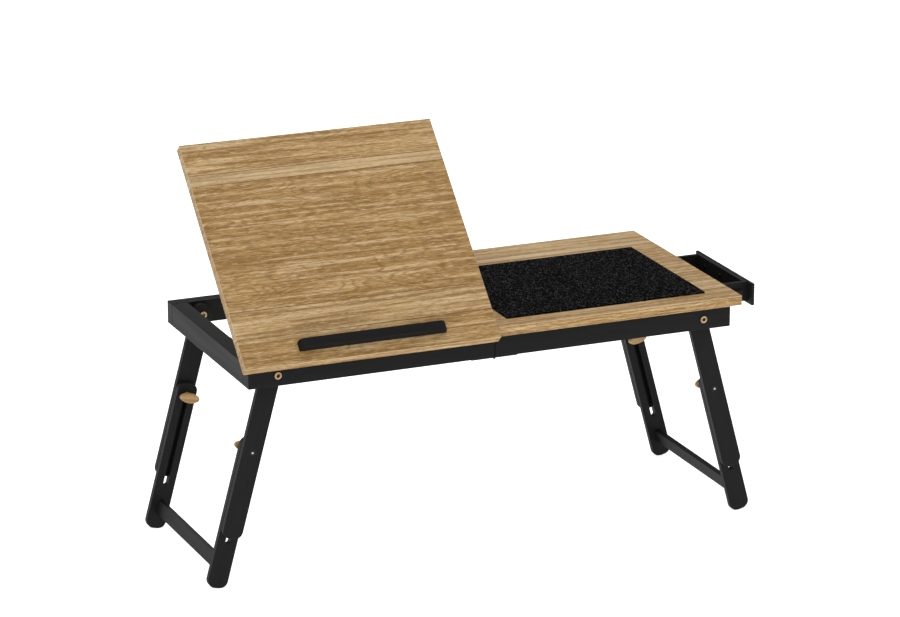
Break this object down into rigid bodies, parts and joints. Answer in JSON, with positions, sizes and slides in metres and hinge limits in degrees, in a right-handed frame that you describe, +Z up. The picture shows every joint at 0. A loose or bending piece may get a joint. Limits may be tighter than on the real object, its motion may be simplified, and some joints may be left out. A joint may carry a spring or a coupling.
{
  "type": "folding laptop desk with drawer",
  "caption": "Folding lap desk with a tilting laptop board and ledge, a fixed side with mouse pad and end drawer, and splayed folding legs whose length is set by clamp knobs.",
  "frame": {"origin": "centre of the whole stand's box at floor level, with the board raised, the drawer part open and the legs fully out, as in the picture", "axes": "+X along the desk from the tilting board to the drawer, +Y from the user's side to the back, +Z up"},
  "size_m": [0.7436, 0.3172, 0.5015],
  "materials": {
    "oak_top": "satin oak laminate, boards along X",
    "black_wood": "matte black stain",
    "knob_wood": "clear satin",
    "felt": "dark felt",
    "brass": "satin",
    "steel": "satin zinc",
    "black_plastic": "matte"
  },
  "bodies": {
    "left_frame": {"left_front_rail": "black_wood", "left_rear_rail": "black_wood", "left_end_rail": "black_wood", "left_mid_rail": "black_wood", "tie_strap": "steel", "tilt_rack_outer": "black_plastic", "tilt_rack_inner": "black_plastic", "tilt_hinge_pins": "steel", "tilt_hinge_fixed_leaf_1": "steel", "tilt_hinge_fixed_leaf_2": "steel", "left_pivot_bolts": "brass", "left_pivot_nuts": "brass", "fold_hinge_pins": "steel", "fold_hinge_left_leaf_front": "steel", "fold_hinge_left_leaf_rear": "steel"},
    "right_frame": {"right_front_rail": "black_wood", "right_rear_rail": "black_wood", "right_mid_rail": "black_wood", "fixed_top": "oak_top", "mouse_pad": "felt", "right_end_block_front": "black_wood", "right_end_block_rear": "black_wood", "drawer_runner_front": "black_wood", "drawer_runner_rear": "black_wood", "right_pivot_bolts": "brass", "right_pivot_nuts": "brass", "fold_hinge_right_leaf_front": "steel", "fold_hinge_right_leaf_rear": "steel"},
    "tilt_panel": {"tilt_board": "oak_top", "laptop_ledge": "black_wood", "ledge_screws": "steel", "tilt_hinge_moving_leaf_1": "steel", "tilt_hinge_moving_leaf_2": "steel", "prop_bracket_outer": "black_plastic", "prop_bracket_inner": "black_plastic"},
    "prop": {"prop_foot_bar": "steel", "prop_arm_outer": "steel", "prop_arm_inner": "steel"},
    "drawer": {"drawer_front": "black_wood", "drawer_side_front": "black_wood", "drawer_side_rear": "black_wood", "drawer_inner_wall": "black_wood", "drawer_back_wall": "black_wood", "drawer_bottom": "black_wood"},
    "left_upper_legs": {"left_front_upper_leg": "black_wood", "left_rear_upper_leg": "black_wood", "left_clamp_bolts": "steel"},
    "left_lower_legs": {"left_front_lower_leg": "black_wood", "left_rear_lower_leg": "black_wood", "left_crossbar": "black_wood"},
    "left_front_knob_turn": {"left_front_knob": "knob_wood"},
    "left_rear_knob_turn": {"left_rear_knob": "knob_wood"},
    "right_upper_legs": {"right_front_upper_leg": "black_wood", "right_rear_upper_leg": "black_wood", "right_clamp_bolts": "steel"},
    "right_lower_legs": {"right_front_lower_leg": "black_wood", "right_rear_lower_leg": "black_wood", "right_crossbar": "black_wood"},
    "right_front_knob_turn": {"right_front_knob": "knob_wood"},
    "right_rear_knob_turn": {"right_rear_knob": "knob_wood"}
  },
  "joints": [
    {"name": "half_fold", "type": "hinge", "parent": "left_frame", "child": "right_frame", "pos_m": [-0.01164, 0.0031, 0.25229], "axis": [0, 1, 0], "range_deg": [0, 90]},
    {"name": "panel_tilt", "type": "hinge", "parent": "left_frame", "child": "tilt_panel", "pos_m": [-0.17469, -0.1427, 0.27849], "axis": [1, 0, 0], "range_deg": [-44.65, 5.35]},
    {"name": "prop_swing", "type": "hinge", "parent": "tilt_panel", "child": "prop", "pos_m": [-0.17469, -0.09433, 0.32628], "axis": [1, 0, 0], "range_deg": [-10.8, 89.4]},
    {"name": "drawer_slide", "type": "slide", "parent": "right_frame", "child": "drawer", "axis": [1, 0, 0], "range_m": [-0.0636, 0.066]},
    {"name": "left_leg_fold", "type": "hinge", "parent": "left_frame", "child": "left_upper_legs", "pos_m": [-0.29034, 0.0031, 0.26689], "axis": [0, -1, 0], "range_deg": [0, 105]},
    {"name": "left_leg_extend", "type": "slide", "parent": "left_upper_legs", "child": "left_lower_legs", "axis": [-0.2588, 0, -0.9659], "range_m": [-0.075, 0]},
    {"name": "left_front_knob_screw", "type": "hinge", "parent": "left_upper_legs", "child": "left_front_knob_turn", "pos_m": [-0.31674, -0.10371, 0.16837], "axis": [0, 1, 0], "continuous": true},
    {"name": "left_rear_knob_screw", "type": "hinge", "parent": "left_upper_legs", "child": "left_rear_knob_turn", "pos_m": [-0.31674, 0.1099, 0.16837], "axis": [0, -1, 0], "continuous": true},
    {"name": "right_leg_fold", "type": "hinge", "parent": "right_frame", "child": "right_upper_legs", "pos_m": [0.26706, 0.0031, 0.26689], "axis": [0, 1, 0], "range_deg": [0, 105]},
    {"name": "right_leg_extend", "type": "slide", "parent": "right_upper_legs", "child": "right_lower_legs", "axis": [0.2588, 0, -0.9659], "range_m": [-0.075, 0]},
    {"name": "right_front_knob_screw", "type": "hinge", "parent": "right_upper_legs", "child": "right_front_knob_turn", "pos_m": [0.29346, -0.10371, 0.16837], "axis": [0, 1, 0], "continuous": true},
    {"name": "right_rear_knob_screw", "type": "hinge", "parent": "right_upper_legs", "child": "right_rear_knob_turn", "pos_m": [0.29346, 0.1099, 0.16837], "axis": [0, -1, 0], "continuous": true}
  ],
  "couplings": [
    {"joint": "prop_swing", "follows": "panel_tilt", "ratio": -2}
  ]
}
